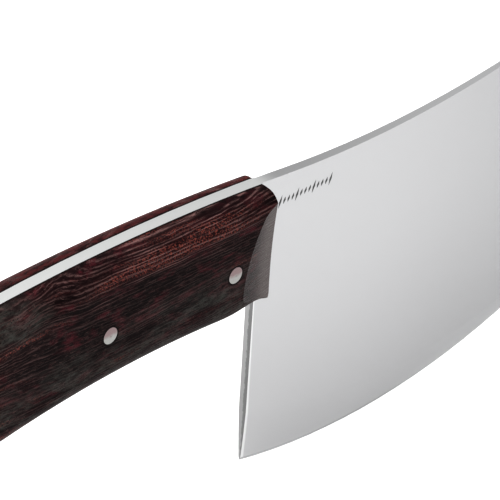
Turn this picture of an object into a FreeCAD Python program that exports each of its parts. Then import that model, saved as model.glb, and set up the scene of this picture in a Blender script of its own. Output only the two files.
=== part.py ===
"""Full-tang meat cleaver: one steel blade and tang, two wooden scales, their bedding and three pins.

Millimetres. +X runs forward along the blade, +Z up to the spine, Y across the thickness.
The origin is the centre of the grip: the axis of the middle pin, on the blade's middle plane.
"""
import FreeCAD, Part
import math
import os

from FreeCAD import Vector

# ---- Heel and handle ----
heel_x = 60.1                # rear line of the blade below the handle, at the tip of the heel
scale_overhang = 1.7         # the scales reach this far forward of the heel
grip_front_x = heel_x + scale_overhang
grip_butt_x = -68.0          # rear end of the handle
back_crest_x = -16.0         # highest point of the handle's back
back_crest_z = 20.5
back_radius = 644.0          # convex arc of the back, seen from the side
belly_crest_x = 3.5          # highest point of the handle's hollowed underside
belly_crest_z = -16.25
belly_radius = 350.0         # concave arc of the underside
belly_lift = 1.9             # near the front the underside turns up by this much
belly_lift_from = 17.0       # starting this far behind the front of the scales
belly_lift_to = 4.5          # and ending this far behind it
tang_thickness = 3.6
bedding_thickness = 0.15     # glue line between the tang and each scale
front_scale_thickness = 6.2
middle_scale_thickness = 7.4
rear_scale_thickness = 8.4
back_round_height = 6.5      # height of the rounding at the top of a scale
belly_round_height = 7.0     # and at its bottom
butt_corner_radius = 13.0
front_top_corner_radius = 2.2
front_bottom_corner_radius = 3.0

front_ease = 1.0             # easing of a scale's upright front edge, seen from above
butt_ease_length = 8.0
butt_ease_depth = 6.0

# A facet, ground on a large wheel, thins the front of each scale towards its bottom
facet_deepest_z = -13.0      # height at which its length and depth are given
facet_length = 11.3
facet_depth = 2.4
facet_wheel_radius = 200.0

# ---- Pins ----
pin_diameter = 4.8
pin_spacing = 46.0
front_pin_drop = 2.7         # the outer pins sit lower than the middle one, as the handle curves
rear_pin_drop = 1.7
pin_clearance = 0.02         # radial, in every hole
pin_dome = 0.15              # how far a peened pin's centre stands proud of the wood

# ---- Blade ----
heel_tip_z = -73.4
heel_lean = 0.7              # the heel line's top stands this much further forward
blade_length = 175.0         # heel to the foremost point of the nose
spine_low_x = 119.4          # lowest point of the hollowed spine
spine_radius = 358.0
edge_low_x = 108.7           # lowest point of the cutting edge
edge_radius = 200.0
nose_radius = 55.0
flank_step = 0.25            # the flank is ground this far into each side of the tang's steel
flank_thickness = tang_thickness - 2 * flank_step   # at the top of the heel line
length_taper = 0.012         # loss of thickness per mm towards the nose
depth_taper = 0.007          # loss of thickness per mm down from the spine

# ---- Grinds, all measured square to the cutting edge ----
bevel_width = 20.0
bevel_shoulder_drop = 0.07   # the bevel's curve starts this far inside the flank's thickest line
bevel_shoulder_half = flank_thickness / 2 - bevel_shoulder_drop
bevel_end_half = 0.35        # half thickness where the honed edge starts
hone_width = 0.9
bevel_crown = 0.1            # how far the bevel bulges from a flat one, at its middle
edge_half = 0.04             # half thickness of the edge itself

# ---- Sizes of the cutting tools, all clear of the finished shape ----
BIG = 600.0                  # longer than anything on the cleaver
TOOL_REACH = 30.0            # half the height or thickness of a tool that has to pass the whole handle
SIDE_CLEAR = 0.5             # between the handle's outline and the tool that shapes its ends
PLAN_CLEAR = 0.2
END_OVERRUN = 4.0            # the handle's smooth body runs on past both ends
STATIONS = 25                # sections that the smooth body passes through
STEEL_PAST_FRONT = 3.0       # the tang's blank runs on under and past the front of the scales
GRIND_OVERLAP = 3.0          # the grinding tools stand this far outside the edge
SWEEP_PAST_HEEL = 5.0        # degrees by which they start before the heel
SWEEP_PAST_TIP = 15.0        # and run on past the nose's top corner
COVER_CLEAR = 1.0
QUARTER = 0.5523             # Bezier handle length of a quarter round


def back_z(x):
    """Height of the handle's back at x."""
    return back_crest_z - back_radius + math.sqrt(back_radius ** 2 - (x - back_crest_x) ** 2)


def lift_start_x():
    """Where the hollow of the underside ends and its front starts to turn up."""
    return grip_front_x - belly_lift_from


def belly_z(x):
    """Height of the handle's underside at x: a hollow arc that turns up smoothly near the front."""
    hollow_z = belly_crest_z - belly_radius + math.sqrt(belly_radius ** 2 - (x - belly_crest_x) ** 2)
    share = (x - lift_start_x()) / (belly_lift_from - belly_lift_to)
    share = min(max(share, 0), 1)
    return hollow_z + belly_lift * share ** 2 * (3 - 2 * share)


def belly_points(start_x, end_x, clear):
    """Start, middle and end of a stretch of the underside, clear of it by a distance."""
    return [Vector(x, 0, belly_z(x) - clear) for x in (start_x, (start_x + end_x) / 2, end_x)]


def spine_centre():
    """Centre of the spine's arc, which runs on from the handle's back without a kink."""
    rise = math.sqrt((back_radius + spine_radius) ** 2 - (spine_low_x - back_crest_x) ** 2)
    return Vector(spine_low_x, 0, back_crest_z - back_radius + rise)


def spine_start():
    """Point where the handle's back turns into the spine."""
    back_centre = Vector(back_crest_x, 0, back_crest_z - back_radius)
    return back_centre + (spine_centre() - back_centre).normalize() * back_radius


def edge_centre():
    """Centre of the cutting edge's arc, which starts at the heel's tip."""
    run = heel_x - edge_low_x
    return Vector(edge_low_x, 0, heel_tip_z + math.sqrt(edge_radius ** 2 - run ** 2))


def nose_centre():
    """Centre of the nose's arc, which the edge runs into without a kink."""
    x = heel_x + blade_length - nose_radius
    drop = math.sqrt((edge_radius - nose_radius) ** 2 - (x - edge_low_x) ** 2)
    return Vector(x, 0, edge_centre().z - drop)


def circle_crossing(centre_a, radius_a, centre_b, radius_b):
    """The crossing of two circles in the XZ plane that lies further forward."""
    gap = centre_b - centre_a
    along = (gap.Length ** 2 + radius_a ** 2 - radius_b ** 2) / (2 * gap.Length)
    aside = math.sqrt(radius_a ** 2 - along ** 2)
    ahead = gap.normalize()
    square = Vector(-ahead.z, 0, ahead.x)
    foot = centre_a + ahead * along
    return max(foot + square * aside, foot - square * aside, key=lambda p: p.x)


def on_circle(centre, radius, toward):
    """Point of a circle in the direction of another point."""
    return centre + (toward - centre).normalize() * radius


def arc(start, middle, end):
    return Part.Arc(start, middle, end).toShape()


def quarter_round(start, corner, end):
    """Quarter round from start to end, tangent to both sides of the corner."""
    curve = Part.BezierCurve()
    curve.setPoles([start, start + (corner - start) * QUARTER, end + (corner - end) * QUARTER, end])
    return curve.toShape()


def line(start, end):
    return Part.makeLine(start, end)


def outside_plane(point, normal):
    """Everything on the side of a plane that its normal points to."""
    block = Part.makeBox(BIG, BIG, BIG, Vector(-BIG / 2, -BIG / 2, 0))
    turn = FreeCAD.Placement(point, FreeCAD.Rotation(Vector(0, 0, 1), normal))
    block.Placement = turn.multiply(block.Placement)
    return block


def slab(low_y, high_y):
    """Everything between two planes square to Y."""
    return Part.makeBox(BIG, high_y - low_y, BIG, Vector(-BIG / 2, low_y, -BIG / 2))


def extruded(edges, half_thickness):
    """Prism of an outline in the XZ plane, with the same thickness to each side."""
    wire = Part.Wire(Part.__sortEdges__(edges))
    wire.translate(Vector(0, -half_thickness, 0))
    return Part.Face(wire).extrude(Vector(0, 2 * half_thickness, 0))


def corner_edges(prism, x, z):
    """The edge of a prism that runs along Y at a corner of its outline."""
    def is_at(edge):
        middle = edge.BoundBox.Center
        return edge.BoundBox.YLength > 1 and math.hypot(middle.x - x, middle.z - z) < 0.01
    return [edge for edge in prism.Edges if is_at(edge)]


# ---- Handle ----

def scale_thickness(x):
    """Thickness of a scale at x: a smooth curve through its front, middle and rear sizes."""
    share = (grip_front_x - x) / (grip_front_x - grip_butt_x)
    front_part = (1 - share) * (1 - 2 * share) * front_scale_thickness
    middle_part = 4 * share * (1 - share) * middle_scale_thickness
    rear_part = share * (2 * share - 1) * rear_scale_thickness
    return front_part + middle_part + rear_part


def grip_section(x):
    """Closed outline across the handle: flat over the tang, round at the corners of the scales."""
    flat = tang_thickness / 2 + bedding_thickness
    side = flat + scale_thickness(x)
    top, bottom = back_z(x), belly_z(x)
    edges = []
    for sign in (1, -1):
        top_flat = Vector(x, sign * flat, top)
        top_side = Vector(x, sign * side, top - back_round_height)
        bottom_side = Vector(x, sign * side, bottom + belly_round_height)
        bottom_flat = Vector(x, sign * flat, bottom)
        half = [
            line(Vector(x, 0, top), top_flat),
            quarter_round(top_flat, Vector(x, sign * side, top), top_side),
            line(top_side, bottom_side),
            quarter_round(bottom_side, Vector(x, sign * side, bottom), bottom_flat),
            line(bottom_flat, Vector(x, 0, bottom)),
        ]
        edges += half
    return Part.Wire(Part.__sortEdges__(edges))


def grip_body():
    """The handle before its ends are shaped: a smooth body through sections along it."""
    start, end = grip_butt_x - END_OVERRUN, grip_front_x + END_OVERRUN
    sections = [grip_section(start + (end - start) * i / (STATIONS - 1)) for i in range(STATIONS)]
    return Part.makeLoft(sections, True, False)


def side_tool(front_x, front_top_radius, front_bottom_radius):
    """Side view of the handle with rounded corners, just clear of its back and underside."""
    along = (grip_butt_x, (grip_butt_x + front_x) / 2, front_x)
    top = [Vector(x, 0, back_z(x) + SIDE_CLEAR) for x in along]
    hollow = belly_points(grip_butt_x, lift_start_x(), SIDE_CLEAR)
    lifted = belly_points(lift_start_x(), front_x, SIDE_CLEAR)
    outline = [arc(*top), arc(*hollow), arc(*lifted), line(top[0], hollow[0]), line(top[2], lifted[2])]
    prism = extruded(outline, TOOL_REACH)
    rounds = [(top[0], butt_corner_radius), (hollow[0], butt_corner_radius)]
    rounds += [(top[2], front_top_radius), (lifted[2], front_bottom_radius)]
    for corner, radius in rounds:
        if radius:
            prism = prism.makeFillet(radius, corner_edges(prism, corner.x, corner.z))
    return prism


def plan_tool():
    """Top view of the handle, eased at both ends, just clear of its sides."""
    z = -TOOL_REACH
    base = tang_thickness / 2 + bedding_thickness + PLAN_CLEAR
    front_y = base + front_scale_thickness
    butt_y = base + rear_scale_thickness
    edges = []
    for sign in (1, -1):
        front_end = Vector(grip_front_x, sign * (front_y - front_ease), z)
        front_corner = Vector(grip_front_x, sign * front_y, z)
        front_side = Vector(grip_front_x - front_ease, sign * front_y, z)
        butt_side = Vector(grip_butt_x + butt_ease_length, sign * butt_y, z)
        butt_corner = Vector(grip_butt_x, sign * butt_y, z)
        butt_end = Vector(grip_butt_x, sign * (butt_y - butt_ease_depth), z)
        edges += [
            line(Vector(grip_front_x, 0, z), front_end),
            quarter_round(front_end, front_corner, front_side),
            line(front_side, butt_side),
            quarter_round(butt_side, butt_corner, butt_end),
            line(butt_end, Vector(grip_butt_x, 0, z)),
        ]
    return Part.Face(Part.Wire(Part.__sortEdges__(edges))).extrude(Vector(0, 0, 2 * TOOL_REACH))


def facet_wheel(sign):
    """The wheel that grinds the facet at the front of one scale, running forward and inward."""
    side_y = tang_thickness / 2 + bedding_thickness + front_scale_thickness
    deepest = Vector(grip_front_x, sign * (side_y - facet_depth), facet_deepest_z)
    forward = Vector(facet_length, -sign * facet_depth, 0).normalize()
    outward = Vector(facet_depth, sign * facet_length, 0).normalize()
    centre = deepest + outward * facet_wheel_radius
    return Part.makeCylinder(facet_wheel_radius, BIG, centre - forward * (BIG / 2), forward)


def pin_places():
    """Centres of the three pins, from front to rear."""
    return {
        "front_pin": Vector(pin_spacing, 0, -front_pin_drop),
        "middle_pin": Vector(0, 0, 0),
        "rear_pin": Vector(-pin_spacing, 0, -rear_pin_drop),
    }


def pin_holes():
    radius = pin_diameter / 2 + pin_clearance
    holes = []
    for place in pin_places().values():
        start = place - Vector(0, TOOL_REACH, 0)
        holes.append(Part.makeCylinder(radius, 2 * TOOL_REACH, start, Vector(0, 1, 0)))
    return Part.makeCompound(holes)


def pin(place):
    """Pin with shallow domed ends, its rims flush with the sides of the scales."""
    half = tang_thickness / 2 + bedding_thickness + scale_thickness(place.x)
    radius = pin_diameter / 2
    end, top = Vector(radius, half, 0), Vector(0, half + pin_dome, 0)
    sphere_radius = (radius ** 2 + pin_dome ** 2) / (2 * pin_dome)
    lean = math.asin(radius / sphere_radius) / 2
    middle = Vector(sphere_radius * math.sin(lean), top.y - sphere_radius * (1 - math.cos(lean)), 0)
    upper = [line(Vector(radius, 0, 0), end), arc(end, middle, top), line(top, Vector(0, 0, 0))]
    face = Part.Face(Part.Wire(Part.__sortEdges__(upper + [line(Vector(0, 0, 0), Vector(radius, 0, 0))])))
    half_pin = face.revolve(Vector(0, 0, 0), Vector(0, 1, 0), 360)
    whole = half_pin.fuse(half_pin.mirror(Vector(0, 0, 0), Vector(0, 1, 0))).removeSplitter()
    whole.translate(place)
    return whole


# ---- Blade ----

def steel_outline():
    """Side view of the blade, its heel and the part of the tang in front of the front pin."""
    join_x = tang_join_x()
    heel_tip = Vector(heel_x, 0, heel_tip_z)
    heel_top = Vector(heel_x + heel_lean, 0, belly_z(heel_x + heel_lean))
    edge, nose, spine = edge_centre(), nose_centre(), spine_centre()
    edge_end = on_circle(edge, edge_radius, edge + (nose - edge) * 2)
    edge_middle = on_circle(edge, edge_radius, (heel_tip + edge_end) / 2)
    tip = circle_crossing(nose, nose_radius, spine, spine_radius)
    nose_middle = on_circle(nose, nose_radius, (edge_end + tip) / 2)
    spine_end = spine_start()
    spine_middle = on_circle(spine, spine_radius, (tip + spine_end) / 2)
    join_top = Vector(join_x, 0, back_z(join_x))
    join_bottom = Vector(join_x, 0, belly_z(join_x))
    back_x, under_x = (join_x + spine_end.x) / 2, (join_x + heel_top.x) / 2
    return [
        arc(heel_tip, edge_middle, edge_end),
        arc(edge_end, nose_middle, tip),
        arc(tip, spine_middle, spine_end),
        arc(spine_end, Vector(back_x, 0, back_z(back_x)), join_top),
        line(join_top, join_bottom),
        arc(join_bottom, Vector(under_x, 0, belly_z(under_x)), heel_top),
        line(heel_top, heel_tip),
    ]


def tang_join_x():
    """Where the shaped rear of the tang meets the flat blank of the blade, inside the scales."""
    return (pin_spacing + heel_x) / 2


def outside_flank(sign):
    """Everything outside the ground flank on one side of the blade."""
    corner = Vector(heel_x, sign * flank_thickness / 2, back_z(heel_x))
    return outside_plane(corner, Vector(length_taper / 2, sign, -depth_taper / 2))


def bevel_tool(centre, radius, sign, start, sweep):
    """Sector outside the curved bevel and the honed edge, turned about the centre of an arc.

    It starts in the given direction from the centre and turns towards the nose and up, in degrees.
    """
    def at(depth, half):
        return centre + start * (radius - depth) + Vector(0, sign * half, 0)
    shoulder, hone = at(bevel_width, bevel_shoulder_half), at(hone_width, bevel_end_half)
    bulge = at((bevel_width + hone_width) / 2, (bevel_shoulder_half + bevel_end_half) / 2 + bevel_crown)
    rim, over = at(0, edge_half), at(-GRIND_OVERLAP, edge_half)
    over_wide, wide = at(-GRIND_OVERLAP, tang_thickness), at(bevel_width, tang_thickness)
    edges = [
        arc(shoulder, bulge, hone), line(hone, rim), line(rim, over),
        line(over, over_wide), line(over_wide, wide), line(wide, shoulder),
    ]
    return Part.Face(Part.Wire(Part.__sortEdges__(edges))).revolve(centre, Vector(0, -1, 0), sweep)


def turned(direction, degrees):
    """A direction in the XZ plane turned from +X towards +Z."""
    return FreeCAD.Rotation(Vector(0, -1, 0), degrees).multVec(direction)


def degrees_between(first, second):
    return math.degrees(first.getAngle(second))


def bevel_tools():
    """The bevel and hone on both sides, along the edge's arc and on round the nose."""
    edge, nose = edge_centre(), nose_centre()
    heel_way = turned((Vector(heel_x, 0, heel_tip_z) - edge).normalize(), -SWEEP_PAST_HEEL)
    turn_way = (nose - edge).normalize()
    tip = circle_crossing(nose, nose_radius, spine_centre(), spine_radius)
    nose_sweep = degrees_between(turn_way, tip - nose) + SWEEP_PAST_TIP
    tools = []
    for sign in (1, -1):
        tools.append(bevel_tool(edge, edge_radius, sign, heel_way, degrees_between(heel_way, turn_way)))
        tools.append(bevel_tool(nose, nose_radius, sign, turn_way, nose_sweep))
    return tools


def under_grip():
    """Prism over the part of the steel that the scales cover, which the flank grind leaves alone.

    Behind the heel it reaches below the underside, where there is no steel.
    """
    rear_x = grip_butt_x - COVER_CLEAR
    corners = [
        Vector(grip_front_x, 0, belly_z(grip_front_x)),
        Vector(heel_x, 0, belly_z(heel_x)),
        Vector(rear_x, 0, belly_z(rear_x) - COVER_CLEAR),
        Vector(rear_x, 0, back_crest_z + COVER_CLEAR),
        Vector(grip_front_x, 0, back_crest_z + COVER_CLEAR),
    ]
    return extruded([line(a, b) for a, b in zip(corners, corners[1:] + corners[:1])], BIG)


def blade(shaped_grip):
    """Blade and tang in one piece of steel."""
    half = tang_thickness / 2
    rear = shaped_grip.common(slab(-half, half))
    behind_join = Part.makeBox(BIG, BIG, BIG, Vector(tang_join_x() - BIG, -BIG / 2, -BIG / 2))
    steel = extruded(steel_outline(), half)
    covered = under_grip()
    for sign in (1, -1):
        steel = steel.cut(outside_flank(sign).cut(covered))
    for tool in bevel_tools():
        steel = steel.cut(tool)
    steel = steel.fuse(rear.common(behind_join)).removeSplitter()
    return steel.cut(pin_holes())


def scale(shaped_blank, sign):
    """One wooden scale: the shaped blank outside its bedding."""
    inner = tang_thickness / 2 + bedding_thickness
    side = slab(inner, BIG) if sign > 0 else slab(-BIG, -inner)
    return shaped_blank.common(side).cut(pin_holes())


def bedding(shaped_blank, sign):
    """The thin layer of glue between the tang and one scale."""
    inner, outer = tang_thickness / 2, tang_thickness / 2 + bedding_thickness
    layer = slab(inner, outer) if sign > 0 else slab(-outer, -inner)
    return shaped_blank.common(layer).cut(pin_holes())


def build():
    body = grip_body()
    butt_only = body.common(side_tool(grip_front_x + STEEL_PAST_FRONT, 0, 0))
    blank = body.common(side_tool(grip_front_x, front_top_corner_radius, front_bottom_corner_radius))
    blank = blank.common(plan_tool())
    for sign in (1, -1):
        blank = blank.cut(facet_wheel(sign))
    parts = {
        "blade": blade(butt_only),
        "left_scale": scale(blank, -1),
        "right_scale": scale(blank, 1),
        "left_bedding": bedding(blank, -1),
        "right_bedding": bedding(blank, 1),
    }
    for name, place in pin_places().items():
        parts[name] = pin(place)
    return parts


def write(parts):
    os.makedirs("parts", exist_ok=True)
    for name, shape in parts.items():
        shape.exportStep(f"parts/{name}.step")
        box = shape.BoundBox
        print(f"{name}: solids {len(shape.Solids)}, valid {shape.isValid()}, volume {shape.Volume:.1f} mm3, "
              f"X {box.XMin:.2f} to {box.XMax:.2f}, Y {box.YMin:.2f} to {box.YMax:.2f}, "
              f"Z {box.ZMin:.2f} to {box.ZMax:.2f}")


write(build())
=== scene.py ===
"""Studio picture of a meat cleaver: a full-tang steel blade with wooden scales held by three steel pins.

X runs along the cleaver from butt to nose, Y from its left side to its right and Z from edge to spine.
Lengths below are in millimetres unless a comment says otherwise.
"""

import math

import bmesh
import bpy
from mathutils import Matrix, Vector


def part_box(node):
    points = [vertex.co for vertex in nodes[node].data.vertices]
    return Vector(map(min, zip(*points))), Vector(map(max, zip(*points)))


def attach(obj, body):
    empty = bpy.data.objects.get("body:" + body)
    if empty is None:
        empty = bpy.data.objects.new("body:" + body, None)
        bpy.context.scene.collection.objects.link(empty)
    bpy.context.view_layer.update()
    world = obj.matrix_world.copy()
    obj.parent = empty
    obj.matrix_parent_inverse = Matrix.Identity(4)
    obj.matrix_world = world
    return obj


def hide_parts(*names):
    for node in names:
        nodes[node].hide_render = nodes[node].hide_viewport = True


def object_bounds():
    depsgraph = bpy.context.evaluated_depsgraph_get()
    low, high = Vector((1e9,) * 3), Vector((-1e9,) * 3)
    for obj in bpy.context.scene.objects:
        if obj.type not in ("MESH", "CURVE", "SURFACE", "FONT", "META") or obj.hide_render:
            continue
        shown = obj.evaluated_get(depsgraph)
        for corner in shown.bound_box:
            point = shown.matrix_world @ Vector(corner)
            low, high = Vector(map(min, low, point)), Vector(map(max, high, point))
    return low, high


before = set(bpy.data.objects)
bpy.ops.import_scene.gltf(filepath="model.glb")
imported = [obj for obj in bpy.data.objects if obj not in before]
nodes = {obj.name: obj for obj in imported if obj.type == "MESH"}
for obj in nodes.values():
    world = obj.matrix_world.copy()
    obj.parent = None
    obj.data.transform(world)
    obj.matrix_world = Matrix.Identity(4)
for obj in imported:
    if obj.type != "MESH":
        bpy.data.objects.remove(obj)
cad_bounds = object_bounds()

MM = 0.001
PER_METRE = 1000.0
PINS = ("front_pin", "middle_pin", "rear_pin")

# The sockets of a mix node that hold colours.
MIX_FIRST = 6
MIX_SECOND = 7
MIX_RESULT = 2

# Camera: where it aims, how it is turned, how long its lens is and, in metres, how far off it stands.
CAMERA_AIM = Vector((54.6, -5.0, -0.29)) * MM
CAMERA_AZIMUTH = math.radians(-47.0)
CAMERA_ELEVATION = math.radians(33.79)
CAMERA_ROLL = math.radians(3.051)
CAMERA_DISTANCE = 1.3
CAMERA_CLIP = (0.01, 100.0)
LENS = 359.55
SENSOR = 36.0

# Floor and light, in metres and watts. A sky stop is a height, from level to straight up, and a brightness.
FLOOR_SIZE = 12.0
FLOOR_GAP = 0.0003
FLOOR_COLOUR = (0.90, 0.90, 0.90, 1)
FLOOR_ROUGH = 0.8
SKY_STRENGTH = 1.21
SKY_STOPS = ((0.0, 0.80), (0.20, 0.74), (0.37, 0.55), (0.52, 0.80), (0.68, 1.22), (0.90, 0.76))
LAMP_PLACE = (-0.37, -0.02, 0.73)
LAMP_AIM = (0.05, 0.0, -0.08)
LAMP_SIZE = 1.0
LAMP_POWER = 12.2
PICTURE_GAMMA = 0.75

# Noises: waves per millimetre along, through and across the piece, then detail, then roughness.
NOISE_MIDDLE = 0.5
WANDER_NOISE = ((0.010, 0.020, 0.030), 2.0, 0.5)
WAVER_NOISE = ((0.07, 0.10, 0.16), 3.0, 0.6)
DRIFT_NOISE = ((0.012, 0.10, 0.25), 2.0, 0.5)
FIBRE_NOISE = ((0.06, 0.8, 2.6), 4.0, 0.75)
FINE_NOISE = ((0.4, 1.5, 3.0), 4.0, 0.8)
BAND_NOISE = ((0.018, 0.10, 0.22), 3.0, 0.6)
DASH_NOISE = ((2.0, 1.8, 2.2), 2.0, 0.7)
CLOUD_NOISE = ((0.06, 0.10, 0.20), 3.0, 0.6)
MOTTLE_NOISE = ((0.30, 0.5, 0.9), 4.0, 0.75)
RED_NOISE = ((0.10, 0.15, 0.28), 3.0, 0.6)
STEEL_NOISE = ((0.015, 0.015, 0.02), 2.0, 0.5)
HEEL_SHADE_NOISE = ((0.4, 0.4, 0.4), 3.0, 0.7)
SCRATCH_NOISE = ((3.0, 1.0, 1.2), 3.0, 0.7)
STAIN_NOISE = ((0.5, 0.5, 0.5), 1.0, 0.5)
BEDDING_NOISE = ((0.8, 0.8, 0.8), 2.0, 0.5)
ETCH_NOISE = ((6.0, 6.0, 6.0), 2.0, 0.5)

# Wood colours.
DARK_WOOD = (0.004, 0.0015, 0.002, 1)
MID_WOOD = (0.016, 0.005, 0.006, 1)
LIGHT_WOOD = (0.200, 0.120, 0.114, 1)
# Painted sheen: a pale grey over the rear and the lower side of the handle.
GREY_SHEEN = (0.066, 0.066, 0.060, 1)
RED_WOOD = (0.062, 0.011, 0.016, 1)
# Painted light: the top of the right scale, redder and brighter where light from above falls.
FAR_TOP_PAINTED_LIGHT = (0.072, 0.016, 0.017, 1)
FLECK_WOOD = (0.230, 0.068, 0.052, 1)
# The dark round the pins and along the seam, also used as painted shade over the upper front corner.
RING_AND_SHADE_WOOD = (0.006, 0.003, 0.003, 1)
# Painted reflection: the pale colour on the buffed facet toward its front.
FACET_REFLECTION = (0.110, 0.092, 0.088, 1)

# Ovals on the side of the handle: the middle's x and z, then half the length and half the height.
SPECKLED_AREA = (30.0, 16.0, 48.0, 8.0)
DARK_AREA = (20.0, 5.0, 50.0, 10.0)
GREY_AREA = (-34.0, 16.0, 18.0, 7.0)
FIGURED_AREA = (-30.0, 14.0, 34.0, 18.0)
AREA_FADE = (0.25, 1.0, 1.0, 0.0)

# The run of the grain: how far it wanders, how it slopes and how it humps over a knot.
GRAIN_WANDER = 9.0
GRAIN_WAVER = 1.1
FIGURE_WAVER = 1.8
GRAIN_SLOPE = 0.05
KNOT_X = -7.0
KNOT_DRIFT = 1.7
KNOT_WIDTH = 9.0
KNOT_HEIGHT = 2.0
KNOT_RISE = (5.0, 14.0)

# Growth lines: their spacing, their bends, how thin they are and what is left of them in between.
LINE_SPACING = 0.92
LINE_DRIFT = 22.0
LINE_DEPTH_TURN = 2.0
LINE_SHARPNESS = 1.9
LINE_REST = 0.03

# From where to where in a noise or a tone each pattern comes up, then its share at both ends if not 0 and 1.
FIBRE_RANGE = (0.42, 0.62)
LINE_TONES = (0.30, 0.62, 0.30, 1.0)
FINE_RANGE = (0.50, 0.70)
MID_TONES = (0.40, 0.66)
RED_RANGE = (0.50, 0.68)
RED_MOTTLE = (0.35, 0.6)
FAR_TOP_MOTTLE = (0.38, 0.58, 0.1, 0.9)
REAR_CLOUD = (0.40, 0.58)
LOW_CLOUD = (0.34, 0.62)
GREY_MOTTLE = (0.36, 0.66, 0.15, 0.75)
FLECK_DASHES = (0.51, 0.61)
FLECK_TONES = (0.54, 0.70)
PORE_DASHES = (0.40, 0.33)

# How strong each pattern is, from 0 to 1, and how much of it is lost in some part of the handle.
FRONT_LIGHTER = 0.16
HEART_DARKER = 0.10
LINES_LOST_LOW = 0.75
LINES_BEHIND_FRONT = 0.55
FINE_STRENGTH = 0.35
FINE_LOST_IN_FRONT = 0.3
RED_LOST_IN_FRONT = 0.75
FLECK_STRENGTH = 0.75
PORE_STRENGTH = 0.8

# Places on the handle, each as where a change starts and ends. The corner's turn is a part of the normal.
# The lower side, where the painted grey sheen lies and the pale lines fade.
SHEEN_HEIGHT = (5.0, -7.0)
# Where the painted light on the top of the right scale lies.
FAR_TOP_HEIGHT = (12.0, 17.0)
FAR_TOP_SIDE = (1.0, 3.0)
# Painted shade over the upper front corner, where its rounding turns toward the front.
CORNER_TURN = (0.1, 0.5)
CORNER_HEIGHT = (7.0, 12.0)
CORNER_DARK = 0.85

# How far from the seam and from the pins their dark lines are full, and where they have faded.
SEAM_DARK = 0.05
SEAM_FADE = 0.6
RING_DARK = 0.15
RING_FADE = 0.9

# The wood's surface, with its relief in metres, and the buffed facet at its front. The facet's faces lean
# forward, look sideways and lie below its top.
WOOD_RELIEF = 0.00008
WOOD_GLOSS = 0.03
WOOD_ROUGH = 0.36
POLISHED_LINES = (0.0, 0.8)
ROUGHER_BETWEEN = 0.06
FACET_GLOSS = 0.2
FACET_ROUGH = 0.28
# Where the facet's painted reflection comes in, in millimetres along the handle.
FACET_REFLECTION_RUN = (52.0, 60.0)
FACET_MIN_SLANT = 0.1
FACET_MIN_SIDE = 0.8
FACET_TOP = 13.0

# Blade: flank, with painted shade toward the nose, honed edge, tang edge, heel, with painted shade toward its
# left side, and the painted highlight along the rim beside the heel. The tang edge and the heel are found by
# which way they face, as a part of the normal.
STEEL = (0.485, 0.485, 0.49, 1)
# Painted shade: the flank's steel darkens toward the nose.
NOSE_SHADE_STEEL = (0.375, 0.375, 0.38, 1)
NOSE_SHADE_RUN = (90.0, 230.0)
BLADE_ROUGH = 0.265
CLOUD_ROUGH = 0.05
EDGE_RADIUS = 200.0
EDGE_LOW_X = 108.7
NOSE_RADIUS = 55.0
HONE_WIDTH = 0.9
HONE_BLUR = 0.15
HONE_STEEL = (0.36, 0.36, 0.365, 1)
HONE_EXTRA_ROUGH = 0.1
TANG_FRONT = (60.0, 69.0)
TANG_FACING = (0.55, 0.85)
TANG_EXTRA_ROUGH = 0.18
TANG_STEEL = (0.62, 0.625, 0.62, 1)
HEEL_FACING = (-0.5, -0.8)
HEEL_SHADE_WANDER = 1.6
HEEL_SIDE = (0.45, 0.85)
# Painted shade: the heel's left side is darker than its right.
HEEL_NEAR_STEEL = (0.20, 0.20, 0.20, 1)
HEEL_FAR_STEEL = (0.33, 0.33, 0.33, 1)
# Painted highlight: a bright line along the rim beside the heel.
RIM_HIGHLIGHT = (0.66, 0.66, 0.66, 1)
RIM_HIGHLIGHT_AHEAD = (61.4, 60.9)
RIM_HIGHLIGHT_HEIGHT = (-18.0, -22.0)

# Pins, with their relief in metres, etched mark and bedding.
PIN_ROUGH = 0.16
PIN_SCRATCH_ROUGH = 0.12
PIN_RELIEF = 0.00002
PIN_PINK = (0.235, 0.182, 0.182, 1)
PIN_GREY = (0.31, 0.31, 0.30, 1)
PIN_STAIN_WANDER = 2.0
PIN_STAIN_BLUR = 0.8
MARK_START = (69.0, 6.6)
MARK_STEP = 1.6
MARK_COUNT = 13
MARK_BEAT = 4
MARK_SLOPE = -0.05
MARK_TALL = 1.9
MARK_SHORT = 1.05
MARK_WIDE = 0.42
MARK_LEAN = 0.35
MARK_PROUD = 0.01
MARK_DARK = (0.05, 0.05, 0.05, 1)
MARK_LIGHT = (0.12, 0.12, 0.12, 1)
MARK_METAL = 0.6
MARK_ROUGH = 0.6
BESIDE_BLADE = 1000.0
BEDDING_DARK = (0.004, 0.004, 0.004, 1)
BEDDING_LIGHT = (0.012, 0.011, 0.010, 1)
BEDDING_ROUGH = 0.6
BEDDING_GLOSS = 0.2


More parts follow.
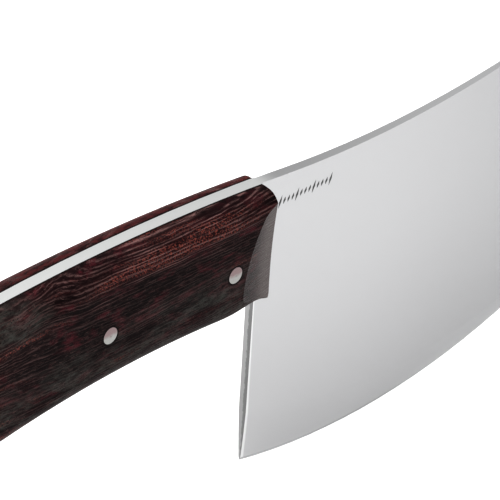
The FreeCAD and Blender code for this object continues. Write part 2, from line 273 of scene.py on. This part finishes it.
class Graph:
    """A small helper that adds nodes to a material and joins them."""

    def __init__(self, name):
        self.material = bpy.data.materials.new(name)
        self.material.use_nodes = True
        self.tree = self.material.node_tree
        self.tree.nodes.clear()
        self.output = self.tree.nodes.new("ShaderNodeOutputMaterial")
        self.shader = self.tree.nodes.new("ShaderNodeBsdfPrincipled")
        self.join(self.shader.outputs["BSDF"], self.output.inputs["Surface"])

    def join(self, source, target):
        self.tree.links.new(source, target)

    def put(self, socket, value):
        """Sets a socket, or joins it when the value is another node's output. None leaves it alone."""
        if isinstance(value, bpy.types.NodeSocket):
            self.join(value, socket)
        elif value is not None:
            socket.default_value = value

    def set(self, **values):
        """Sets the main shader's sockets, named in lower case with underscores."""
        for name, value in values.items():
            label = next(s for s in self.shader.inputs if s.name.lower().replace(" ", "_") == name)
            self.put(label, value)

    def place(self):
        """The position on the object, in millimetres."""
        source = self.tree.nodes.new("ShaderNodeTexCoord")
        return self.vector("MULTIPLY", source.outputs["Object"], (PER_METRE,) * 3)

    def facing(self):
        """The parts of the surface's normal, along the object's own axes."""
        source = self.tree.nodes.new("ShaderNodeTexCoord")
        return self.split(source.outputs["Normal"])

    def vector(self, operation, first, second=None):
        node = self.tree.nodes.new("ShaderNodeVectorMath")
        node.operation = operation
        self.put(node.inputs[0], first)
        self.put(node.inputs[1], second)
        return node.outputs["Value" if operation == "LENGTH" else "Vector"]

    def split(self, point):
        node = self.tree.nodes.new("ShaderNodeSeparateXYZ")
        self.put(node.inputs[0], point)
        return node.outputs

    def join_parts(self, x, y, z):
        node = self.tree.nodes.new("ShaderNodeCombineXYZ")
        for socket, value in zip(node.inputs, (x, y, z)):
            self.put(socket, value)
        return node.outputs["Vector"]

    def math(self, operation, first, second=None, third=None):
        node = self.tree.nodes.new("ShaderNodeMath")
        node.operation = operation
        for socket, value in zip(node.inputs, (first, second, third)):
            self.put(socket, value)
        return node.outputs["Value"]

    def noise(self, point, pattern):
        """A noise from 0 to 1, with a pattern of waves per millimetre, detail and roughness."""
        waves, detail, rough = pattern
        node = self.tree.nodes.new("ShaderNodeTexNoise")
        self.put(node.inputs["Vector"], self.vector("MULTIPLY", point, waves))
        node.inputs["Scale"].default_value = 1.0
        node.inputs["Detail"].default_value = detail
        node.inputs["Roughness"].default_value = rough
        return node.outputs["Fac"]

    def spread(self, value, low, high, to_low=0.0, to_high=1.0):
        """Maps low..high smoothly to to_low..to_high, with nothing beyond them."""
        node = self.tree.nodes.new("ShaderNodeMapRange")
        node.interpolation_type = "SMOOTHSTEP"
        self.put(node.inputs["Value"], value)
        node.inputs["From Min"].default_value = low
        node.inputs["From Max"].default_value = high
        node.inputs["To Min"].default_value = to_low
        node.inputs["To Max"].default_value = to_high
        return node.outputs["Result"]

    def mix(self, share, first, second):
        node = self.tree.nodes.new("ShaderNodeMix")
        node.data_type = "RGBA"
        self.put(node.inputs["Factor"], share)
        self.put(node.inputs[MIX_FIRST], first)
        self.put(node.inputs[MIX_SECOND], second)
        return node.outputs[MIX_RESULT]

    def bump(self, height, distance, below=None):
        node = self.tree.nodes.new("ShaderNodeBump")
        node.inputs["Distance"].default_value = distance
        self.put(node.inputs["Height"], height)
        self.put(node.inputs["Normal"], below)
        return node.outputs["Normal"]


def both(g, first, second):
    return g.math("MULTIPLY", first, second)


def area(g, place, x, z, half_x, half_z):
    """One in the middle of an oval on the side of the handle, fading to nothing at its rim."""
    moved = g.vector("SUBTRACT", place, (x, 0.0, z))
    far = g.vector("LENGTH", g.vector("MULTIPLY", moved, (1.0 / half_x, 0.0, 1.0 / half_z)))
    return g.spread(far, *AREA_FADE)


def knot_hump(g, parts):
    """How far the grain rises over the knot."""
    knot_x = g.math("MULTIPLY_ADD", parts["Y"], KNOT_DRIFT, KNOT_X)
    away = g.math("DIVIDE", g.math("SUBTRACT", parts["X"], knot_x), KNOT_WIDTH)
    bell = g.math("EXPONENT", g.math("MULTIPLY", both(g, away, away), -1.0))
    return both(g, both(g, bell, g.spread(parts["Z"], *KNOT_RISE)), KNOT_HEIGHT)


def grain_place(g, place):
    """Position along, through and across the grain, which nearly follows the handle and humps over a knot."""
    parts = g.split(place)
    wander = g.math("SUBTRACT", g.noise(place, WANDER_NOISE), NOISE_MIDDLE)
    waver = g.math("SUBTRACT", g.noise(place, WAVER_NOISE), NOISE_MIDDLE)
    loose = g.math("MULTIPLY_ADD", area(g, place, *FIGURED_AREA), FIGURE_WAVER, GRAIN_WAVER)
    shift = g.math("MULTIPLY_ADD", waver, loose, both(g, wander, GRAIN_WANDER))
    slope = both(g, parts["X"], GRAIN_SLOPE)
    across = g.math("ADD", g.math("ADD", parts["Z"], slope), shift)
    across = g.math("SUBTRACT", across, knot_hump(g, parts))
    return g.join_parts(parts["X"], parts["Y"], across)


def stripes(g, grain):
    """Fine parallel growth lines whose strength comes and goes along the wood."""
    parts = g.split(grain)
    turns = both(g, parts["Z"], math.tau / LINE_SPACING)
    phase = g.math("MULTIPLY_ADD", g.noise(grain, DRIFT_NOISE), LINE_DRIFT, turns)
    phase = g.math("MULTIPLY_ADD", parts["Y"], LINE_DEPTH_TURN, phase)
    wave = g.math("MULTIPLY_ADD", g.math("SINE", phase), 1 / 2, 1 / 2)
    thin = g.math("POWER", wave, LINE_SHARPNESS)
    lines = g.math("MULTIPLY_ADD", thin, 1.0 - LINE_REST, LINE_REST)
    return both(g, g.spread(g.noise(grain, FIBRE_NOISE), *FIBRE_RANGE), lines)


class Figure:
    """The patterns that the wood's colours share."""

    def __init__(self, g):
        self.place = g.place()
        self.parts = g.split(self.place)
        self.grain = grain_place(g, self.place)
        self.lines = stripes(g, self.grain)
        self.dashes = g.noise(self.grain, DASH_NOISE)
        self.cloud = g.noise(self.grain, CLOUD_NOISE)
        self.mottle = g.noise(self.grain, MOTTLE_NOISE)
        self.front = area(g, self.place, *SPECKLED_AREA)
        self.low = g.spread(self.parts["Z"], *SHEEN_HEIGHT)
        tone = g.math("MULTIPLY_ADD", self.front, FRONT_LIGHTER, g.noise(self.grain, BAND_NOISE))
        self.tone = g.math("MULTIPLY_ADD", area(g, self.place, *DARK_AREA), -HEART_DARKER, tone)


def ground_colour(g, figure):
    """Dark and less dark bands with red clouds, fewer of them in the speckled front."""
    base = g.mix(g.spread(figure.tone, *MID_TONES), DARK_WOOD, MID_WOOD)
    red = g.spread(g.noise(figure.grain, RED_NOISE), *RED_RANGE)
    red = both(g, red, g.spread(figure.mottle, *RED_MOTTLE))
    red = both(g, red, g.math("MULTIPLY_ADD", figure.front, -RED_LOST_IN_FRONT, 1.0))
    return g.mix(red, base, RED_WOOD)


def pale_lines(g, figure):
    """The share of pale growth lines and finer pale fibres."""
    lines = both(g, figure.lines, g.spread(figure.tone, *LINE_TONES))
    lines = both(g, lines, g.math("MULTIPLY_ADD", figure.low, -LINES_LOST_LOW, 1.0))
    in_front = g.math("MULTIPLY_ADD", figure.front, 1.0 - LINES_BEHIND_FRONT, LINES_BEHIND_FRONT)
    fine = g.spread(g.noise(figure.grain, FINE_NOISE), *FINE_RANGE)
    fine = both(g, fine, g.math("MULTIPLY_ADD", figure.front, -FINE_LOST_IN_FRONT, FINE_STRENGTH))
    return g.math("MAXIMUM", both(g, lines, in_front), fine)


def far_top(g, figure):
    """The share of painted light on the top of the right scale: a redder, brighter wood colour where light
    from above falls.
    """
    top = both(g, g.spread(figure.parts["Z"], *FAR_TOP_HEIGHT), g.spread(figure.parts["Y"], *FAR_TOP_SIDE))
    return both(g, top, g.spread(figure.mottle, *FAR_TOP_MOTTLE))


def grey_sheen(g, figure):
    """The share of painted grey sheen, mottled, at the rear and along the lower side."""
    rear = both(g, area(g, figure.place, *GREY_AREA), g.spread(figure.cloud, *REAR_CLOUD))
    low = both(g, figure.low, g.spread(figure.cloud, *LOW_CLOUD))
    return both(g, g.math("MAXIMUM", rear, low), g.spread(figure.mottle, *GREY_MOTTLE))


def flecks(g, figure):
    """The share of light red flecks, which lie in the lighter bands."""
    dashes = both(g, g.spread(figure.dashes, *FLECK_DASHES), g.spread(figure.tone, *FLECK_TONES))
    return both(g, dashes, FLECK_STRENGTH)


def pores(g, figure):
    """The share of dark pores."""
    return both(g, g.spread(figure.dashes, *PORE_DASHES), PORE_STRENGTH)


def pin_size(name):
    """The middle and the radius of a pin, in millimetres."""
    low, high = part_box(name)
    return (low + high) / 2 * PER_METRE, (high.x - low.x) / 2 * PER_METRE


def pin_rings(g, parts):
    """One in a narrow dark ring round each pin."""
    flat = g.join_parts(parts["X"], 0.0, parts["Z"])
    rings = 0.0
    for name in PINS:
        middle, radius = pin_size(name)
        far = g.vector("LENGTH", g.vector("SUBTRACT", flat, (middle.x, 0.0, middle.z)))
        ring = g.spread(far, radius + RING_DARK, radius + RING_FADE, 1.0, 0.0)
        rings = g.math("MAXIMUM", ring, rings)
    return rings


def seam_dark(g, parts):
    """One in a thin line along the seam between wood and steel."""
    aside = g.math("ABSOLUTE", parts["Y"])
    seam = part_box("left_bedding")[0].y * -PER_METRE
    return g.spread(aside, seam + SEAM_DARK, seam + SEAM_FADE, 1.0, 0.0)


def shaded(g, figure):
    """The share of dark round the pins and along the seam, and of painted shade over the upper front corner.
    """
    corner = both(g, g.spread(g.facing()["X"], *CORNER_TURN), g.spread(figure.parts["Z"], *CORNER_HEIGHT))
    dark = g.math("MAXIMUM", pin_rings(g, figure.parts), seam_dark(g, figure.parts))
    return g.math("MAXIMUM", dark, both(g, corner, CORNER_DARK))


def wood(name, gloss, rough, with_painted_reflection):
    """Dark striped wood, oiled and polished; the buffed facet has a pale painted reflection toward the front.
    """
    g = Graph(name)
    figure = Figure(g)
    base = g.mix(pale_lines(g, figure), ground_colour(g, figure), LIGHT_WOOD)
    # Painted light on the top of the right scale.
    base = g.mix(far_top(g, figure), base, FAR_TOP_PAINTED_LIGHT)
    # Painted grey sheen at the rear and along the lower side.
    base = g.mix(grey_sheen(g, figure), base, GREY_SHEEN)
    base = g.mix(flecks(g, figure), base, FLECK_WOOD)
    base = g.mix(pores(g, figure), base, DARK_WOOD)
    # Painted reflection on the buffed facet, stronger toward the front.
    if with_painted_reflection:
        base = g.mix(g.spread(figure.parts["X"], *FACET_REFLECTION_RUN), base, FACET_REFLECTION)
    # Dark round the pins and along the seam, and painted shade over the upper front corner.
    base = g.mix(shaded(g, figure), base, RING_AND_SHADE_WOOD)
    g.set(base_color=base, specular_ior_level=gloss)
    g.set(roughness=g.spread(figure.lines, *POLISHED_LINES, rough + ROUGHER_BETWEEN, rough))
    relief = g.bump(figure.lines, WOOD_RELIEF)
    g.set(normal=g.bump(figure.dashes, WOOD_RELIEF / 2, below=relief))
    return g.material


def honed_edge(g, parts):
    """One in the honed strip along the cutting edge and round the nose."""
    low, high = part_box("blade")
    edge_z = low.z * PER_METRE + EDGE_RADIUS
    nose_x = high.x * PER_METRE - NOSE_RADIUS
    nose_z = edge_z - math.sqrt((EDGE_RADIUS - NOSE_RADIUS) ** 2 - (nose_x - EDGE_LOW_X) ** 2)
    turn_x = nose_x + (nose_x - EDGE_LOW_X) * NOSE_RADIUS / (EDGE_RADIUS - NOSE_RADIUS)
    flat = g.join_parts(parts["X"], 0.0, parts["Z"])
    from_edge = g.vector("LENGTH", g.vector("SUBTRACT", flat, (EDGE_LOW_X, 0.0, edge_z)))
    from_nose = g.vector("LENGTH", g.vector("SUBTRACT", flat, (nose_x, 0.0, nose_z)))
    along = g.spread(from_edge, EDGE_RADIUS - HONE_WIDTH, EDGE_RADIUS - HONE_WIDTH + HONE_BLUR)
    nose = g.spread(from_nose, NOSE_RADIUS - HONE_WIDTH, NOSE_RADIUS - HONE_WIDTH + HONE_BLUR)
    past_turn = g.math("GREATER_THAN", parts["X"], turn_x)
    return g.math("MAXIMUM", along, both(g, nose, past_turn))


def heel_steel(g, place, parts):
    """Darker steel at the heel, with painted shade toward the left side along an uneven line."""
    side = g.math("MULTIPLY_ADD", g.noise(place, HEEL_SHADE_NOISE), HEEL_SHADE_WANDER, parts["Y"])
    return g.mix(g.spread(side, *HEEL_SIDE), HEEL_NEAR_STEEL, HEEL_FAR_STEEL)


def blade_finish():
    """Satin flanks with painted shade toward the nose, a painted highlight along the rim beside the heel, a
    brighter tang edge, a darker heel with painted shade toward its left side and a grey honed edge.
    """
    g = Graph("blade_steel")
    place = g.place()
    parts = g.split(place)
    facing = g.facing()
    tang = both(g, g.spread(facing["Z"], *TANG_FACING), g.spread(parts["X"], *TANG_FRONT, 1.0, 0.0))
    heel = g.spread(facing["X"], *HEEL_FACING)
    # Painted highlight along the rim beside the heel.
    rim = both(g, g.spread(parts["X"], *RIM_HIGHLIGHT_AHEAD), g.spread(parts["Z"], *RIM_HIGHLIGHT_HEIGHT))
    hone = honed_edge(g, parts)
    # Painted shade toward the nose.
    colour = g.mix(g.spread(parts["X"], *NOSE_SHADE_RUN), STEEL, NOSE_SHADE_STEEL)
    colour = g.mix(rim, colour, RIM_HIGHLIGHT)
    colour = g.mix(tang, colour, TANG_STEEL)
    # The darker heel, with painted shade toward its left side.
    colour = g.mix(heel, colour, heel_steel(g, place, parts))
    colour = g.mix(hone, colour, HONE_STEEL)
    rough = g.math("MULTIPLY_ADD", g.noise(place, STEEL_NOISE), CLOUD_ROUGH, BLADE_ROUGH)
    rough = g.math("MULTIPLY_ADD", hone, HONE_EXTRA_ROUGH, rough)
    rough = g.math("MULTIPLY_ADD", tang, TANG_EXTRA_ROUGH, rough)
    g.set(base_color=colour, metallic=1.0, roughness=rough)
    return g.material


def height_in_pin(g, parts):
    """Height above the middle of the pin, in millimetres."""
    height = 0.0
    for name in PINS:
        middle, radius = pin_size(name)
        inside = g.math("COMPARE", parts["X"], middle.x, radius)
        height = g.math("MULTIPLY_ADD", inside, middle.z, height)
    return g.math("SUBTRACT", parts["Z"], height)


def pin_finish():
    """Pin ends sanded flush with the wood: a warm stain over the upper half, with fine scratches."""
    g = Graph("pin_steel")
    place = g.place()
    scratches = g.noise(place, SCRATCH_NOISE)
    height = height_in_pin(g, g.split(place))
    height = g.math("MULTIPLY_ADD", g.noise(place, STAIN_NOISE), PIN_STAIN_WANDER, height)
    middle = PIN_STAIN_WANDER / 2
    stain = g.spread(height, middle - PIN_STAIN_BLUR, middle + PIN_STAIN_BLUR)
    rough = g.math("MULTIPLY_ADD", scratches, PIN_SCRATCH_ROUGH, PIN_ROUGH)
    g.set(base_color=g.mix(stain, PIN_GREY, PIN_PINK), metallic=1.0, roughness=rough)
    g.set(normal=g.bump(scratches, PIN_RELIEF))
    return g.material


def bedding_finish():
    """The thin dark bedding between wood and steel."""
    g = Graph("bedding")
    colour = g.mix(g.noise(g.place(), BEDDING_NOISE), BEDDING_DARK, BEDDING_LIGHT)
    g.set(base_color=colour, roughness=BEDDING_ROUGH, specular_ior_level=BEDDING_GLOSS)
    return g.material


def etched_finish():
    """Steel bitten dark and matt by the etch."""
    g = Graph("etched_steel")
    colour = g.mix(g.noise(g.place(), ETCH_NOISE), MARK_DARK, MARK_LIGHT)
    g.set(base_color=colour, metallic=MARK_METAL, roughness=MARK_ROUGH)
    return g.material


def dress(node, material):
    """Gives a CAD node its material."""
    target = nodes[node]
    target.data.materials.clear()
    target.data.materials.append(material)


def show(name, mesh):
    """Puts a mesh in the scene."""
    piece = bpy.data.objects.new(name, mesh)
    bpy.context.scene.collection.objects.link(piece)
    return piece


def finished_scale(side, flank, facet):
    """The wooden scale with its front facet buffed: glossier than the flank, with a pale painted reflection.
    """
    source = nodes[side + "_scale"]
    mesh = source.data.copy()
    mesh.name = side + "_scale_wood"
    mesh.materials.clear()
    mesh.materials.append(flank)
    mesh.materials.append(facet)
    for face in mesh.polygons:
        slanted = face.normal.x > FACET_MIN_SLANT and abs(face.normal.y) > FACET_MIN_SIDE
        low_enough = face.center.z * PER_METRE < FACET_TOP
        face.material_index = 1 if slanted and low_enough else 0
    piece = show(mesh.name, mesh)
    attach(piece, "root")
    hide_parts(source.name)


def on_flank(x, z):
    """The point of the blade's left flank at x and z, in metres."""
    start = Vector((x, -BESIDE_BLADE, z)) * MM
    return nodes["blade"].ray_cast(start, Vector((0.0, 1.0, 0.0)))[1]


def lozenge(mesh, x, z, tall):
    """One slanted lozenge, just proud of the blade's left flank."""
    tip = Vector((tall * MARK_LEAN, 0.0, tall))
    side = Vector((MARK_WIDE, 0.0, 0.0))
    proud = Vector((0.0, -MARK_PROUD * MM, 0.0))
    flat = [on_flank(x + c.x, z + c.z) for c in (-tip, side, tip, -side)]
    outer = [mesh.verts.new(p + proud) for p in flat]
    inner = [mesh.verts.new(p - proud) for p in flat]
    mesh.faces.new(outer)
    mesh.faces.new(inner[::-1])
    for j in range(len(outer)):
        k = (j + 1) % len(outer)
        mesh.faces.new((outer[k], outer[j], inner[j], inner[k]))


def etched_mark(material):
    """A short row of slanted lozenges etched near the handle, in place of any lettering."""
    mesh = bmesh.new()
    for i in range(MARK_COUNT):
        tall = MARK_TALL if i % MARK_BEAT == 0 else MARK_SHORT
        along = i * MARK_STEP
        lozenge(mesh, MARK_START[0] + along, MARK_START[1] + along * MARK_SLOPE, tall)
    bmesh.ops.recalc_face_normals(mesh, faces=mesh.faces)
    data = bpy.data.meshes.new("etched_mark")
    mesh.to_mesh(data)
    mesh.free()
    data.materials.append(material)
    piece = show("etched_mark", data)
    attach(piece, "root")


def dress_all():
    dress("blade", blade_finish())
    etched_mark(etched_finish())
    pin_steel = pin_finish()
    for name in PINS:
        dress(name, pin_steel)
    bedding = bedding_finish()
    flank = wood("scale_wood", WOOD_GLOSS, WOOD_ROUGH, False)
    facet = wood("scale_wood_buffed", FACET_GLOSS, FACET_ROUGH, True)
    for side in ("left", "right"):
        dress(side + "_bedding", bedding)
        finished_scale(side, flank, facet)


def camera():
    """The camera, turned about the vertical, raised, then rolled."""
    level = math.cos(CAMERA_ELEVATION)
    back_x = math.sin(CAMERA_AZIMUTH) * level
    back_y = -math.cos(CAMERA_AZIMUTH) * level
    back = Vector((back_x, back_y, math.sin(CAMERA_ELEVATION)))
    flat_right = Vector((0, 0, 1)).cross(back).normalized()
    flat_up = back.cross(flat_right)
    right = flat_right * math.cos(CAMERA_ROLL) + flat_up * math.sin(CAMERA_ROLL)
    up = back.cross(right)
    turn = Matrix((right, up, back)).transposed().to_4x4()
    lens = bpy.data.cameras.new("camera")
    lens.sensor_width = SENSOR
    lens.lens = LENS
    lens.clip_start, lens.clip_end = CAMERA_CLIP
    view = show("camera", lens)
    view.matrix_world = Matrix.Translation(CAMERA_AIM + back * CAMERA_DISTANCE) @ turn
    bpy.context.scene.camera = view


def floor():
    """A plain pale floor just under the edge."""
    height = cad_bounds[0].z - FLOOR_GAP
    half = FLOOR_SIZE / 2
    mesh = bpy.data.meshes.new("floor")
    corners = [(-half, -half, height), (half, -half, height), (half, half, height), (-half, half, height)]
    mesh.from_pydata(corners, [], [(0, 1, 2, 3)])
    g = Graph("floor_paint")
    g.set(base_color=FLOOR_COLOUR, roughness=FLOOR_ROUGH, specular_ior_level=0.0)
    mesh.materials.append(g.material)
    made = show("floor", mesh)


def sky():
    """A plain bright room, dimmest a third of the way up and brightest at two thirds."""
    world = bpy.data.worlds.new("room")
    world.use_nodes = True
    tree = world.node_tree
    tree.nodes.clear()
    where = tree.nodes.new("ShaderNodeTexCoord")
    parts = tree.nodes.new("ShaderNodeSeparateXYZ")
    ramp = tree.nodes.new("ShaderNodeValToRGB")
    stops = ramp.color_ramp.elements
    for height, _ in SKY_STOPS[1:-1]:
        stops.new(height)
    for stop, (height, shade) in zip(stops, SKY_STOPS):
        stop.position = height
        stop.color = (shade, shade, shade, 1)
    light = tree.nodes.new("ShaderNodeBackground")
    light.inputs["Strength"].default_value = SKY_STRENGTH
    output = tree.nodes.new("ShaderNodeOutputWorld")
    tree.links.new(where.outputs["Generated"], parts.inputs[0])
    tree.links.new(parts.outputs["Z"], ramp.inputs["Fac"])
    tree.links.new(ramp.outputs["Color"], light.inputs["Color"])
    tree.links.new(light.outputs["Background"], output.inputs["Surface"])
    bpy.context.scene.world = world


def overhead_lamp():
    """A large soft lamp that isn't seen itself by the camera."""
    lamp = bpy.data.lights.new("overhead", "AREA")
    lamp.shape = "RECTANGLE"
    lamp.size = LAMP_SIZE
    lamp.size_y = LAMP_SIZE
    lamp.energy = LAMP_POWER
    made = show("overhead", lamp)
    made.location = LAMP_PLACE
    made.rotation_mode = "QUATERNION"
    made.rotation_quaternion = (Vector(LAMP_AIM) - Vector(LAMP_PLACE)).to_track_quat("-Z", "Y")
    made.visible_camera = False


def finish_look():
    """A plain view transform, with a gamma that gives the picture a harder contrast."""
    settings = bpy.context.scene.view_settings
    settings.view_transform = "Standard"
    settings.look = "None"
    settings.exposure = 0.0
    settings.gamma = PICTURE_GAMMA


camera()
floor()
sky()
overhead_lamp()
dress_all()
finish_look()
